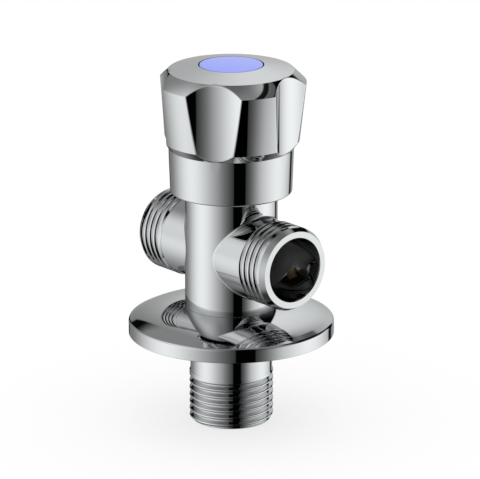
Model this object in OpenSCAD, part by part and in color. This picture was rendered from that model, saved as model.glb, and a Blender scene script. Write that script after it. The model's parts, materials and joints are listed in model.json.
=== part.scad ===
// Two-outlet angle valve: a turned and plated body with an inlet spigot below and two outlets
// in line, a domed wall escutcheon, a quarter-turn ceramic disc cartridge and a five-lobed
// handwheel with a blue index button.
// Origin: centre of the inlet's end face. +Z runs up the spindle, the outlets lie along X.
// The valve is drawn closed. The wheel opens it counterclockwise, seen from above.

/* [Pipe threads] */
// Major diameter of the inlet and outlet threads (G 1/2)
thread_d = 20.955; // [20.4:0.005:21.4]
// Pitch of those threads (14 turns to the inch)
thread_pitch = 1.814; // [1.4:0.001:2]
// Depth by which the plain necks lie below the thread crests
neck_relief = 0.25; // [0.2:0.05:0.4]
// Depth of the chamfer on each threaded end
thread_chamfer = 0.85; // [0.4:0.05:1.2]

/* [Inlet spigot] */
// Length from the end face to the shoulder under the barrel
inlet_len = 30.4; // [28:0.2:36]
// Full turns of thread on the inlet
inlet_turns = 7; // [5:1:8]
// Length of the chamfer on the inlet's end
inlet_chamfer_len = 0.85; // [0.6:0.05:1.4]
// Bore of the inlet
inlet_bore_d = 14.4; // [12:0.2:15]

/* [Barrel] */
// Outside diameter of the barrel
barrel_d = 23; // [22.6:0.2:24.2]
// Height of the barrel above its shoulder
barrel_len = 32; // [31:0.5:36]
// Chamfer at both ends of the barrel
barrel_chamfer = 0.4; // [0.2:0.1:0.6]
// Bore of the valve chamber
chamber_d = 18.4; // [18:0.1:18.8]

/* [Outlets] */
// Distance from the spindle axis to an outlet's end face
outlet_reach = 24.4; // [23:0.2:30]
// Height of the outlet axis above the shoulder
outlet_rise = 13.9; // [13.5:0.1:15]
// Full turns of thread on each outlet
outlet_turns = 5; // [3:1:5]
// Length of the chamfer on each outlet's end
outlet_chamfer_len = 1.4; // [0.6:0.05:1.6]
// Bore of each outlet
outlet_bore_d = 15.8; // [14:0.2:16]
// Chamfer at the mouth of each bore
bore_chamfer = 0.2; // [0.1:0.05:0.4]

/* [Seat] */
// Hole through the valve seat
seat_hole_d = 9.6; // [8:0.2:10.2]
// Thickness of the wall that carries the seat
seat_wall = 3; // [2:0.2:4]
// Depth of the seat below the lowest point of the outlet bores
seat_drop = 0.8; // [0.4:0.1:1.2]

/* [Escutcheon] */
// Outside diameter of the escutcheon
escutcheon_d = 51.2; // [48:0.2:60]
// Height from the wall face to the crown
escutcheon_h = 7.8; // [7:0.1:10]
// Height of the rim, up to the corner that it would have without its rounding
rim_h = 3.5; // [3.2:0.1:4.4]
// Thickness of the pressed sheet
sheet = 0.6; // [0.4:0.1:0.8]
// Outer radius where the dome turns down into the rim
rim_round = 2.1; // [1.6:0.1:2.8]
// Clearance of the centre hole around the thread, on the radius
escutcheon_clearance = 0.15; // [0.1:0.05:0.3]
// Width of the flat crown around that hole, which seats under the barrel
crown_land = 0.87; // [0.6:0.01:1.2]

/* [Ceramic discs] */
// Diameter of the fixed disc and of the moving disc
disc_d = 13.4; // [13:0.1:13.6]
// Thickness of the fixed disc
fixed_disc_h = 3.2; // [2.6:0.1:3.6]
// Thickness of the moving disc
moving_disc_h = 3.5; // [3:0.1:4]
// Inner radius of the ports through the discs
port_inner_r = 1.4; // [1.2:0.1:1.8]
// Outer radius of the ports through the discs
port_outer_r = 4.6; // [4:0.1:4.8]
// Angle that each port spans
port_angle = 78; // [60:2:84]
// Width of the slot across the top of the moving disc
slot_w = 3.2; // [2.6:0.1:3.6]
// Depth of that slot
slot_depth = 1.4; // [1:0.1:1.8]
// Width of the lugs that hold the fixed disc
lug_w = 2.8; // [2:0.1:3.4]
// Height of the rubber seal between the seat and the fixed disc
seal_h = 2.6; // [2.2:0.1:3]
// Radial thickness of the rubber seal
seal_w = 1.15; // [0.9:0.05:1.2]

/* [Cartridge bonnet] */
// Outside diameter of the cage around the discs
cage_d = 16.6; // [16.2:0.1:17.2]
// Depth of the thrust shoulder below the top of the barrel
head_depth = 10.2; // [9.6:0.1:10.8]
// Width of each window in the cage
window_w = 9; // [7:0.5:10]
// Height of the land that carries the bonnet O-ring
ring_land_h = 3; // [2.6:0.1:3.4]
// Pitch diameter of the cartridge thread (M20 x 1)
head_thread_d = 19.35; // [19.2:0.05:19.6]
// Height of the flange that seats on the barrel
head_flange_h = 1.6; // [1.2:0.1:2]
// Width across flats of the bonnet hexagon
hex_af = 19; // [17:0.5:20]
// Height of the hexagon
hex_h = 5; // [4:0.5:6]
// Diameter of the neck above the hexagon
bonnet_neck_d = 12.8; // [12.4:0.1:13.4]
// Height of that neck
bonnet_neck_h = 4; // [3.5:0.1:5]
// Height of the stop wall on top of the neck
stop_h = 1.8; // [1.4:0.1:2.2]
// Thickness of the stop wall
stop_wall = 1.2; // [0.9:0.1:1.3]

/* [Spindle] */
// Diameter of the spindle
spindle_d = 8; // [7.8:0.05:8.1]
// Running clearance of the spindle in the bonnet, on the radius
spindle_clearance = 0.05; // [0.03:0.01:0.08]
// Turning angle from closed to open
turn_angle = 90; // [60:5:100]
// Angle that the tab of the stop collar spans
tab_angle = 60; // [40:5:70]
// Diameter of the waist between the discs and the thrust collar
waist_d = 5.6; // [5:0.1:6.4]
// Height of the driving tongue
tongue_h = 3.6; // [3:0.1:4.2]
// Width over the flats that turn the stop collar
collar_flats = 7; // [6.7:0.1:7.3]
// Length of the splined end
spline_len = 8.7; // [8:0.1:10]
// Number of spline teeth
spline_teeth = 20; // [18:1:24]
// Depth of the spline teeth
spline_depth = 0.4; // [0.3:0.05:0.5]
// Plain length between the circlip and the spline
spline_runout = 1.9; // [1.4:0.1:2.4]
// Thickness of the thrust washer
thrust_washer_h = 0.8; // [0.6:0.1:1]
// Thickness of the thrust collar
thrust_collar_h = 2; // [1.6:0.1:2.4]

/* [Seals and clip] */
// Section diameter of the spindle O-rings
spindle_ring_w = 1.05; // [0.95:0.05:1.1]
// Distance between the two spindle O-rings
spindle_ring_pitch = 5; // [3:0.5:6]
// Section diameter of the bonnet O-ring
bonnet_ring_w = 1.1; // [1:0.05:1.2]
// Section diameter of the O-ring around the index button
button_ring_w = 1; // [0.8:0.05:1.2]
// Thickness of the circlip
circlip_t = 0.8; // [0.6:0.1:1]
// Radial width of the circlip
circlip_w = 1.6; // [1.4:0.1:1.7]
// Depth of the circlip groove
circlip_groove = 0.7; // [0.5:0.1:0.9]

/* [Handwheel screw] */
// Diameter of the screw (M4)
screw_d = 4; // [3.5:0.1:4.2]
// Length of the screw under its head
screw_len = 10; // [9:0.5:10.5]
// Diameter of the screw head
screw_head_d = 7.6; // [7:0.1:8]
// Height of the screw head
screw_head_h = 2.2; // [1.8:0.1:2.4]
// Thickness of the lock washer
lock_washer_h = 0.9; // [0.7:0.1:1]

/* [Handwheel] */
// Diameter over the lobes at their widest
wheel_d = 37.1; // [36:0.1:42]
// Number of lobes
lobes = 5; // [4:1:6]
// Turn of the first flute from the outlet axis
flute_turn = 18; // [0:18:72]
// Radius of each flute between the lobes
flute_r = 15.6; // [12:0.2:20]
// Diameter of the face, of the skirt's top and over the floors of the flutes
face_d = 31; // [30.6:0.1:32]
// Diameter over the lobes at the foot of the grip
grip_foot_d = 33.8; // [33:0.1:35]
// Diameter at the skirt's lower edge
skirt_foot_d = 30.2; // [29.8:0.1:30.6]
// Height of the skirt
skirt_h = 11.2; // [10:0.1:12]
// Height of the bevel under the lobes
foot_bevel_h = 1.9; // [1.4:0.1:2.6]
// Height of the grip between its bevels
grip_h = 14.6; // [13.6:0.1:18]
// Height of the bevel above the lobes
top_bevel_h = 3; // [2.4:0.1:3.6]
// Rise of the face from its edge to the button
crown_rise = 1.3; // [0.9:0.1:1.6]
// Wall thickness of the handwheel
wheel_wall = 1.5; // [1.2:0.1:1.7]
// Rounding of the skirt's lower edge
skirt_round = 0.4; // [0.2:0.1:0.6]
// Thickness of the web under the screw
web_h = 0.8; // [0.6:0.1:1.2]
// Outside diameter of the hub
hub_d = 16; // [15.6:0.1:18]
// Thickness of the ribs between hub and wall
rib_t = 1.4; // [1:0.1:2]
// Outside diameter of the spline bush
bush_d = 11; // [10.6:0.1:11.6]
// Width and depth of the keys on the bush
bush_key = 1.2; // [1:0.1:1.4]

/* [Index button] */
// Diameter of the button
button_d = 15.8; // [15:0.1:16.4]
// Height of the button at its edge
button_h = 4.2; // [4.1:0.1:5]
// Rise of the button's domed face
button_dome = 0.25; // [0.1:0.05:0.4]
// Gap around the button, on the radius
button_gap = 0.2; // [0.1:0.05:0.3]

/* [Hidden] */
$fn = 96;

// Clearances shared by several fits
fit = 0.03;
slip = 0.1;
axial_play = 0.4;
// How far a cutting solid runs past the face that it opens
cut = 1;
// Steps in a drawn arc
arc_steps = 12;

// Body and escutcheon
thread_r = thread_d / 2;
neck_r = thread_r - neck_relief;
barrel_r = barrel_d / 2;
shoulder_z = inlet_len;
outlet_z = shoulder_z + outlet_rise;
rim_z = shoulder_z + barrel_len;
seat_z = outlet_z - outlet_bore_d / 2 - seat_drop;
hole_r = thread_r + escutcheon_clearance;
crown_r = hole_r + crown_land;

// Cartridge, from the seat up
seal_top_z = seat_z + seal_h;
fixed_top_z = seal_top_z + fixed_disc_h;
moving_top_z = fixed_top_z + moving_disc_h;
thrust_z = rim_z - head_depth;
land_top_z = thrust_z + ring_land_h;
disc_r = disc_d / 2;
cage_bore_r = disc_r + 2 * fit;
spindle_r = spindle_d / 2;
spindle_bore_r = spindle_r + spindle_clearance;
spline_tip_r = spindle_r - 2 * fit;
collar_top_z = thrust_z - thrust_washer_h;

// Cartridge, above the barrel
hex_z = rim_z + head_flange_h;
neck_z = hex_z + hex_h;
neck_top_z = neck_z + bonnet_neck_h;
stop_top_z = neck_top_z + stop_h;
stop_inner_r = bonnet_neck_d / 2 - stop_wall;
circlip_top_z = stop_top_z + circlip_t;
spindle_top_z = circlip_top_z + spline_runout + spline_len;

// Handwheel, hung from the top of the spindle
recess_z = spindle_top_z + web_h;
face_z = recess_z + button_h;
wheel_h = skirt_h + foot_bevel_h + grip_h + top_bevel_h + crown_rise;
wheel_z = face_z - wheel_h;
recess_r = button_d / 2 + button_gap;
hub_z = circlip_top_z + spline_runout / 2;
screw_r = screw_d / 2;
screw_seat_z = recess_z + lock_washer_h;

// Points along an arc about a centre
function arc(centre, r, from, to, steps = arc_steps) =
    [for (i = [0:steps]) centre + r * [cos(from + (to - from) * i / steps),
        sin(from + (to - from) * i / steps)]];

// Outline of a spline whose teeth fill a share of their pitch
function spline_outline(root_r, tip_r, share) =
    [for (i = [0:spline_teeth - 1], corner = [[-share, 0], [-share * 0.6, 1], [share * 0.6, 1],
        [share, 0]])
        let (a = (i + corner[0] / 2) * 360 / spline_teeth, r = corner[1] == 1 ? tip_r : root_r)
        r * [cos(a), sin(a)]];

module tube(outer_r, inner_r, h) {
    difference() {
        cylinder(r = outer_r, h = h);
        translate([0, 0, -cut]) cylinder(r = inner_r, h = h + 2 * cut);
    }
}

// Wedge that covers a span of angle out to a radius, centred on an angle
module wedge(r, centre, span, h) {
    linear_extrude(height = h)
        polygon(concat([[0, 0]], arc([0, 0], r, centre - span / 2, centre + span / 2)));
}

// Round bar or spigot with a chamfer at one or both ends
module chamfered_bar(r, h, low, high) {
    rotate_extrude()
        polygon([[0, 0], [r - low, 0], [r, low], [r, h - high], [r - high, h], [0, h]]);
}

module o_ring(inner_r, w, z) {
    color("dimgray")
        translate([0, 0, z])
            rotate_extrude($fn = 48)
                translate([inner_r + w / 2, 0]) circle(d = w, $fn = 24);
}

// Groove for an O-ring, cut into a shaft of a given radius
module ring_groove(shaft_r, floor_r, w, z) {
    translate([0, 0, z - w * 0.65]) tube(shaft_r + cut, floor_r, w * 1.3);
}

// Threaded end and plain neck, drawn along +Z from the end face
module threaded_spigot(len, turns, chamfer_len) {
    thread_len = turns * thread_pitch;
    rotate_extrude()
        polygon([[0, 0], [thread_r - thread_chamfer, 0], [thread_r, chamfer_len],
            [thread_r, thread_len], [neck_r, thread_len], [neck_r, len], [0, len]]);
}

// Cutter for a bore and the chamfer at its mouth, drawn along +Z from the end face
module bore(d, depth) {
    translate([0, 0, -cut]) cylinder(d = d, h = depth + cut);
    translate([0, 0, -bore_chamfer])
        cylinder(r1 = d / 2 + 2 * bore_chamfer, r2 = d / 2, h = 2 * bore_chamfer);
}

// Points an outlet's own +Z back along its axis, from its end face to the barrel
module at_outlet(side) {
    translate([side * outlet_reach, 0, outlet_z])
        rotate([0, -side * 90, 0])
            children();
}

module valve_body() {
    color("gainsboro")
        difference() {
            union() {
                threaded_spigot(shoulder_z, inlet_turns, inlet_chamfer_len);
                translate([0, 0, shoulder_z])
                    chamfered_bar(barrel_r, barrel_len, barrel_chamfer, barrel_chamfer);
                for (side = [-1, 1])
                    at_outlet(side)
                        threaded_spigot(outlet_reach, outlet_turns, outlet_chamfer_len);
            }
            bore(inlet_bore_d, seat_z - seat_wall);
            cylinder(d = seat_hole_d, h = rim_z);
            translate([0, 0, seat_z])
                cylinder(d = chamber_d, h = barrel_len);
            translate([0, 0, land_top_z])
                cylinder(d = head_thread_d, h = barrel_len);
            for (side = [-1, 1])
                at_outlet(side) bore(outlet_bore_d, outlet_reach);
        }
}

// Six flats with the corners chamfered at both ends
module hexagon(af, h) {
    corner_r = af / 2 / cos(30);
    intersection() {
        cylinder(r = corner_r, h = h, $fn = 6);
        chamfered_bar(corner_r, h, (corner_r - af / 2) / 2, corner_r - af / 2);
    }
}

module bonnet_outside() {
    cage_foot_z = seat_z + axial_play;
    translate([0, 0, cage_foot_z])
        cylinder(d = cage_d, h = land_top_z - cage_foot_z);
    translate([0, 0, thrust_z])
        cylinder(r = chamber_d / 2 - fit, h = ring_land_h);
    translate([0, 0, thrust_z])
        cylinder(d = cage_d, h = rim_z - thrust_z);
    translate([0, 0, land_top_z + axial_play])
        cylinder(r = head_thread_d / 2 - fit, h = rim_z - land_top_z - axial_play);
    translate([0, 0, rim_z])
        chamfered_bar(barrel_r - barrel_chamfer, head_flange_h, 0, barrel_chamfer);
    translate([0, 0, hex_z])
        hexagon(hex_af, hex_h);
    translate([0, 0, neck_z])
        cylinder(d = bonnet_neck_d, h = bonnet_neck_h + stop_h);
}

module cartridge_bonnet() {
    window_z = moving_top_z - slot_depth;
    free_angle = turn_angle + tab_angle + 2;
    land_ring_z = thrust_z + ring_land_h / 2;
    color("darkgray")
        difference() {
            bonnet_outside();
            cylinder(r = cage_bore_r, h = thrust_z);
            cylinder(r = spindle_bore_r, h = stop_top_z + cut);
            translate([-cage_d, -window_w / 2, window_z])
                cube([2 * cage_d, window_w, collar_top_z - thrust_collar_h - window_z]);
            translate([-lug_w / 2 - slip, -cage_d, seat_z])
                cube([lug_w + 2 * slip, 2 * cage_d, fixed_top_z + slip - seat_z]);
            ring_groove(chamber_d / 2, chamber_d / 2 - bonnet_ring_w - 2 * fit, bonnet_ring_w,
                land_ring_z);
            translate([0, 0, neck_top_z])
                cylinder(r = stop_inner_r, h = stop_h + cut);
            translate([0, 0, neck_top_z])
                wedge(bonnet_neck_d, 90, free_angle, stop_h + cut);
        }
}

module bonnet_o_ring() {
    o_ring(chamber_d / 2 - bonnet_ring_w - fit, bonnet_ring_w, thrust_z + ring_land_h / 2);
}

module seat_seal() {
    color("dimgray")
        translate([0, 0, seat_z])
            difference() {
                tube(disc_r, disc_r - seal_w, seal_h);
                // Shallow groove around the outside, between the two sealing lips
                translate([0, 0, seal_h / 2 - seal_w / 4])
                    tube(disc_r + cut, disc_r - seal_w / 4, seal_w / 2);
            }
}

module seal_stiffener() {
    recess = 0.3;
    color("ivory")
        translate([0, 0, seat_z + recess])
            tube(disc_r - seal_w, seat_hole_d / 2 + fit, seal_h - 2 * recess);
}

// Two opposite ports through a disc, centred on an angle
module ports(centre, h) {
    for (side = [0, 180])
        intersection() {
            translate([0, 0, -cut]) tube(port_outer_r, port_inner_r, h + 2 * cut);
            translate([0, 0, -cut]) wedge(2 * disc_r, centre + side, port_angle, h + 2 * cut);
        }
}

module fixed_disc() {
    color("whitesmoke")
        translate([0, 0, seal_top_z])
            difference() {
                union() {
                    cylinder(r = disc_r, h = fixed_disc_h);
                    intersection() {
                        translate([-lug_w / 2, -cage_d / 2, 0])
                            cube([lug_w, cage_d, fixed_disc_h]);
                        cylinder(r = cage_d / 2 - slip, h = fixed_disc_h);
                    }
                }
                ports(0, fixed_disc_h);
            }
}

module moving_disc() {
    color("lavender")
        translate([0, 0, fixed_top_z])
            difference() {
                cylinder(r = disc_r, h = moving_disc_h);
                // Closed, the ports stand a quarter turn away from those of the fixed disc
                ports(90, moving_disc_h);
                translate([-disc_d, -slot_w / 2, moving_disc_h - slot_depth])
                    cube([2 * disc_d, slot_w, slot_depth + cut]);
            }
}

module thrust_washer() {
    color("ivory")
        translate([0, 0, collar_top_z])
            tube(cage_bore_r - slip, spindle_r + slip, thrust_washer_h);
}

// Lowest ring first
function spindle_ring_z(index) =
    (thrust_z + neck_top_z) / 2 + (index - 0.5) * spindle_ring_pitch;

module spindle_o_ring(index) {
    o_ring(spindle_bore_r - spindle_ring_w - fit, spindle_ring_w, spindle_ring_z(index));
}

module spindle_o_ring_lower() {
    spindle_o_ring(0);
}

module spindle_o_ring_upper() {
    spindle_o_ring(1);
}

module spindle_shape() {
    tongue_z = moving_top_z - slot_depth + slip;
    spline_z = spindle_top_z - spline_len;
    intersection() {
        translate([-disc_r, -slot_w / 2 + fit, tongue_z])
            cube([disc_d, slot_w - 2 * fit, tongue_h]);
        translate([0, 0, tongue_z])
            chamfered_bar(disc_r - axial_play, tongue_h, slip, slip);
    }
    translate([0, 0, moving_top_z + slip])
        cylinder(d = waist_d, h = collar_top_z - moving_top_z - slip);
    translate([0, 0, collar_top_z - thrust_collar_h])
        cylinder(r = cage_bore_r - 2 * slip, h = thrust_collar_h);
    translate([0, 0, collar_top_z])
        cylinder(r = spindle_r, h = spline_z - collar_top_z);
    translate([0, 0, spline_z])
        linear_extrude(height = spline_len)
            polygon(spline_outline(spline_tip_r - spline_depth, spline_tip_r, 0.55));
}

module spindle() {
    groove_floor_r = spindle_bore_r - spindle_ring_w - 2 * fit;
    thread_end_z = screw_seat_z - screw_len - 2 * slip;
    color("burlywood")
        difference() {
            spindle_shape();
            for (index = [0, 1])
                ring_groove(spindle_r, groove_floor_r, spindle_ring_w, spindle_ring_z(index));
            for (side = [-1, 1])
                translate([-spindle_d, side * (collar_flats + spindle_d) / 2 - spindle_r,
                    neck_top_z])
                    cube([2 * spindle_d, spindle_d, stop_h]);
            translate([0, 0, stop_top_z])
                tube(spindle_d, spindle_r - circlip_groove, circlip_t + fit);
            translate([0, 0, thread_end_z])
                cylinder(r = screw_r + fit, h = spindle_top_z - thread_end_z + cut);
        }
}

module stop_collar() {
    collar_h = stop_h - fit;
    tab_r = bonnet_neck_d / 2 - slip;
    color("slategray")
        translate([0, 0, neck_top_z + fit])
            difference() {
                union() {
                    cylinder(r = stop_inner_r - 2 * slip, h = collar_h);
                    intersection() {
                        wedge(bonnet_neck_d, 90 - turn_angle / 2, tab_angle, collar_h);
                        cylinder(r = tab_r, h = collar_h);
                    }
                }
                intersection() {
                    translate([0, 0, -cut]) cylinder(r = spindle_r + fit, h = collar_h + 2 * cut);
                    translate([-spindle_d, -collar_flats / 2 - fit, -cut])
                        cube([2 * spindle_d, collar_flats + 2 * fit, collar_h + 2 * cut]);
                }
            }
}

module circlip() {
    mouth = 70;
    inner_r = spindle_r - circlip_groove + fit;
    color("silver")
        translate([0, 0, stop_top_z])
            difference() {
                tube(inner_r + circlip_w, inner_r, circlip_t);
                translate([0, 0, -cut]) wedge(spindle_d, -90, mouth, circlip_t + 2 * cut);
            }
}

// Section of the escutcheon's upper face, from the crown out to the rim. The dome runs from the
// crown's edge to the corner that the rim would have without its rounding.
function escutcheon_face(grow) =
    let (rim_r = escutcheon_d / 2,
        corner_z = shoulder_z - escutcheon_h + rim_h,
        dome_z = (pow(rim_r, 2) + pow(corner_z, 2) - pow(crown_r, 2) - pow(shoulder_z, 2))
            / (2 * (corner_z - shoulder_z)),
        dome_r = norm([crown_r, shoulder_z - dome_z]),
        round_x = rim_r - rim_round,
        round_z = dome_z + sqrt(pow(dome_r - rim_round, 2) - pow(round_x, 2)),
        crown_a = acos(crown_r / (dome_r - grow)),
        rim_a = acos(round_x / (dome_r - rim_round)))
    concat(arc([0, dome_z], dome_r - grow, crown_a, rim_a),
        arc([round_x, round_z], rim_round - grow, rim_a, 0));

module escutcheon() {
    foot_z = shoulder_z - escutcheon_h;
    face = escutcheon_face(0);
    back = escutcheon_face(sheet);
    color("gainsboro")
        rotate_extrude()
            polygon(concat([[hole_r, face[0][1]]], face,
                [[escutcheon_d / 2, foot_z], [escutcheon_d / 2 - sheet, foot_z]],
                [for (i = [len(back) - 1:-1:0]) back[i]], [[hole_r, back[0][1]]]));
}

// Solid of the wheel before its flutes, drawn from the skirt's foot
module wheel_blank() {
    foot_r = skirt_foot_d / 2;
    grip_z = skirt_h + foot_bevel_h;
    top_z = grip_z + grip_h;
    rotate_extrude()
        polygon(concat([[0, 0]],
            arc([foot_r - skirt_round, skirt_round], skirt_round, -90, 0, 4),
            [[face_d / 2, skirt_h], [grip_foot_d / 2, grip_z], [wheel_d / 2, top_z],
                [face_d / 2, top_z + top_bevel_h], [recess_r, wheel_h], [0, wheel_h]]));
}

// Upright cylinders that carve the flutes, or the walls behind them when grown
module flutes(grow, z, h) {
    centre_r = face_d / 2 + fit + flute_r;
    for (i = [0:lobes - 1])
        rotate([0, 0, flute_turn + i * 360 / lobes])
            translate([centre_r, 0, z])
                cylinder(r = flute_r + grow, h = h);
}

// Space inside the wheel, which follows the lobes at the wall's thickness
module wheel_cavity() {
    inner_foot_r = skirt_foot_d / 2 - wheel_wall;
    web_z = wheel_h - button_h - web_h;
    grip_z = skirt_h + foot_bevel_h;
    ceiling_z = grip_z + grip_h + top_bevel_h - wheel_wall;
    difference() {
        rotate_extrude()
            polygon([[0, -cut], [inner_foot_r, -cut], [inner_foot_r, skirt_h - wheel_wall],
                [grip_foot_d / 2 - wheel_wall, grip_z], [wheel_d / 2 - wheel_wall, grip_z + grip_h],
                [face_d / 2 - wheel_wall, ceiling_z], [recess_r + wheel_wall, ceiling_z],
                [recess_r + wheel_wall, web_z], [0, web_z]]);
        flutes(wheel_wall, skirt_h - wheel_wall, wheel_h);
        translate([0, 0, hub_z - wheel_z]) {
            cylinder(d = hub_d, h = wheel_h);
            for (i = [0:lobes - 1])
                rotate([0, 0, flute_turn + (i + 0.5) * 360 / lobes])
                    translate([0, -rib_t / 2, 0])
                        cube([wheel_d, rib_t, wheel_h]);
        }
    }
}

// Outline of the bush and, when grown, of its seat in the hub
module bush_outline(grow) {
    circle(r = bush_d / 2 + grow);
    for (turn = [0, 90])
        rotate(turn)
            square([bush_d + 2 * bush_key + 2 * grow, bush_key + 2 * grow], center = true);
}

module handwheel() {
    color("gainsboro")
        difference() {
            translate([0, 0, wheel_z])
                difference() {
                    wheel_blank();
                    flutes(0, skirt_h, wheel_h);
                    wheel_cavity();
                }
            translate([0, 0, hub_z - cut])
                linear_extrude(height = spindle_top_z - hub_z + cut) bush_outline(fit);
            translate([0, 0, recess_z])
                cylinder(r = recess_r, h = button_h + cut);
            translate([0, 0, spindle_top_z - cut])
                cylinder(r = screw_r + 2 * slip, h = web_h + 2 * cut);
        }
}

module spline_bush() {
    bush_h = spindle_top_z - hub_z;
    color("ghostwhite")
        translate([0, 0, hub_z])
            difference() {
                linear_extrude(height = bush_h) bush_outline(0);
                translate([0, 0, -cut])
                    linear_extrude(height = bush_h + 2 * cut)
                        polygon(spline_outline(spline_tip_r - spline_depth + fit, spline_tip_r + fit, 0.6));
                translate([0, 0, -cut])
                    cylinder(r = spindle_r + fit, h = spindle_top_z - spline_len - hub_z + cut);
            }
}

module lock_washer() {
    slit = 14;
    color("silver")
        translate([0, 0, recess_z])
            difference() {
                tube(screw_head_d / 2 - slip, screw_r + slip, lock_washer_h);
                translate([0, 0, -cut]) wedge(screw_head_d, 45, slit, lock_washer_h + 2 * cut);
            }
}

module handwheel_screw() {
    slot = screw_head_d / 5;
    color("silver")
        difference() {
            union() {
                translate([0, 0, screw_seat_z])
                    chamfered_bar(screw_head_d / 2, screw_head_h, 0, screw_head_h / 4);
                translate([0, 0, screw_seat_z - screw_len])
                    chamfered_bar(screw_r, screw_len, screw_r / 4, 0);
            }
            for (turn = [0, 90])
                rotate([0, 0, turn])
                    translate([0, 0, screw_seat_z + screw_head_h])
                        cube([screw_head_d * 0.6, slot, screw_head_h], center = true);
        }
}

module index_button() {
    button_r = button_d / 2;
    pocket_r = screw_head_d / 2 + slip;
    pocket_h = lock_washer_h + screw_head_h + slip;
    dome_r = (pow(button_r, 2) + pow(button_dome, 2)) / (2 * button_dome);
    edge_a = acos(button_r / dome_r);
    color("cornflowerblue")
        translate([0, 0, recess_z])
            difference() {
                rotate_extrude()
                    polygon(concat([[0, 0], [button_r, 0]],
                        arc([0, button_h + button_dome - dome_r], dome_r, edge_a, 90)));
                translate([0, 0, -cut]) cylinder(r = pocket_r, h = pocket_h + cut);
                ring_groove(button_r, recess_r - button_ring_w - 2 * fit, button_ring_w,
                    button_h / 2);
            }
}

module button_o_ring() {
    o_ring(recess_r - button_ring_w - fit, button_ring_w, recess_z + button_h / 2);
}

valve_body();
cartridge_bonnet();
bonnet_o_ring();
seat_seal();
seal_stiffener();
fixed_disc();
thrust_washer();
escutcheon();
spindle();
moving_disc();
spindle_o_ring_lower();
spindle_o_ring_upper();
stop_collar();
circlip();
handwheel();
spline_bush();
lock_washer();
handwheel_screw();
index_button();
button_o_ring();
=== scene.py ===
"""Looks of the two-outlet angle valve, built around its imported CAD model.

The four plated or glossy pieces that show are meshed here from the CAD's sizes, with exact
normals, so that their mirror finish stays clean: valve_body, escutcheon, handwheel and
index_button. The hidden pieces keep their CAD meshes and get procedural materials.
Lengths are in millimetres in this script until a mesh is made.
"""
import json
import math

import bpy
import numpy as np
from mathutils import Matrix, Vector


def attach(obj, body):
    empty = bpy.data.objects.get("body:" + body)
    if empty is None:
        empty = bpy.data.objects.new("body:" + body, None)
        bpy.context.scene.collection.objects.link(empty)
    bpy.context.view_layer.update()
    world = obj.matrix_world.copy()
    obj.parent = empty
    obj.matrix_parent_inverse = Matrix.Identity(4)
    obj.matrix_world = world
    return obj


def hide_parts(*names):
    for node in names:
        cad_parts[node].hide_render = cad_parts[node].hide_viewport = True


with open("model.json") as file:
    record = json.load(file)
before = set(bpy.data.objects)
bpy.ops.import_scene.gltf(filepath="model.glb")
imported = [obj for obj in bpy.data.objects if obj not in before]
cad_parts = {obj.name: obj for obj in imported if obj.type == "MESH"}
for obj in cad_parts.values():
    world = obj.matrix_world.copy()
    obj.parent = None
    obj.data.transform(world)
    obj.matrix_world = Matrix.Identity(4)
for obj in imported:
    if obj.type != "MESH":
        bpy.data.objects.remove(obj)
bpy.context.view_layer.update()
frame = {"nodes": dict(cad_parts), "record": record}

MM = 0.001
TURN = 2 * math.pi

# Sizes from part.scad
FIT = 0.03
THREAD_R = 20.955 / 2
NECK_R = THREAD_R - 0.25
PITCH = 1.814
END_RIM_R = THREAD_R - 0.85
INLET_TURNS, OUTLET_TURNS = 7, 5
INLET_CHAMFER_LEN, OUTLET_CHAMFER_LEN = 0.85, 1.4
INLET_BORE_R, OUTLET_BORE_R, BORE_CHAMFER = 7.2, 7.9, 0.2
BARREL_R, BARREL_CHAMFER, BARREL_TOP_Z = 11.5, 0.4, 62.4
OUTLET_Z, OUTLET_REACH = 44.3, 24.4
SEAT_Z, SEAT_WALL, SEAT_HOLE_R = 35.6, 3.0, 4.8
CHAMBER_R, CHAMBER_TOP_Z, HEAD_BORE_R = 9.2, 55.2, 19.35 / 2
FOOT_Z, COVER_R, SHEET = 22.6, 25.6, 0.6
COVER_HOLE_R = THREAD_R + 0.15
CROWN_R = COVER_HOLE_R + 0.87
WHEEL_Z, WHEEL_TOP_Z = 59.2, 91.2
LOBES, FLUTE_TURN, FLUTE_R = 5, math.radians(18), 15.6
FACE_R = 15.5
FLUTE_CENTRE = FACE_R + FIT + FLUTE_R
SKIRT_FOOT_R, SKIRT_ROUND, SKIRT_TOP_Z = 15.1, 0.4, 70.4
GRIP_FOOT_R, GRIP_FOOT_Z = 16.9, 72.3
GRIP_TOP_R, GRIP_TOP_Z = 18.55, 86.9
BEVEL_TOP_Z = 89.9
WALL = 1.5
CAVITY_TOP_Z = BEVEL_TOP_Z - WALL
RECESS_R, RECESS_Z, WEB_Z = 8.1, 87.0, 86.2
HUB_R, HUB_Z = 8.0, 76.55
BUSH_SEAT_R, BUSH_KEY = 5.53, 1.2
RIB_T = 1.4
SCREW_HOLE_R = 2.2
BUTTON_H, BUTTON_DOME = 4.2, 0.25
BUTTON_POCKET_R, BUTTON_POCKET_H = 3.9, 3.2

# The button is 0.1 less in radius than the CAD's, so that the dark gap around it shows
BUTTON_R = 7.8

# The dome as its reflections in the photo show it, less than 1 mm from the CAD's: the height at
# which the barrel stands on it, and (r, z, rounding) from its upright wall to that crown
CROWN_Z = 29.7
DOME_PATH = [(COVER_R, FOOT_Z + 1, 0), (COVER_R, 26.07, 0.8), (22.5, 27.622, 20.0),
             (16.3, 29.55, 35.0), (CROWN_R, CROWN_Z, 0)]

# Roundings of edges that turn up on several pieces
SHARP, FINE, PLAIN, BLUNT = 0.05, 0.08, 0.1, 0.12

# Columns around the turned forms
BODY_COLUMNS, COVER_COLUMNS, BUTTON_COLUMNS = 160, 240, 160


# Mesh building

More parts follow.
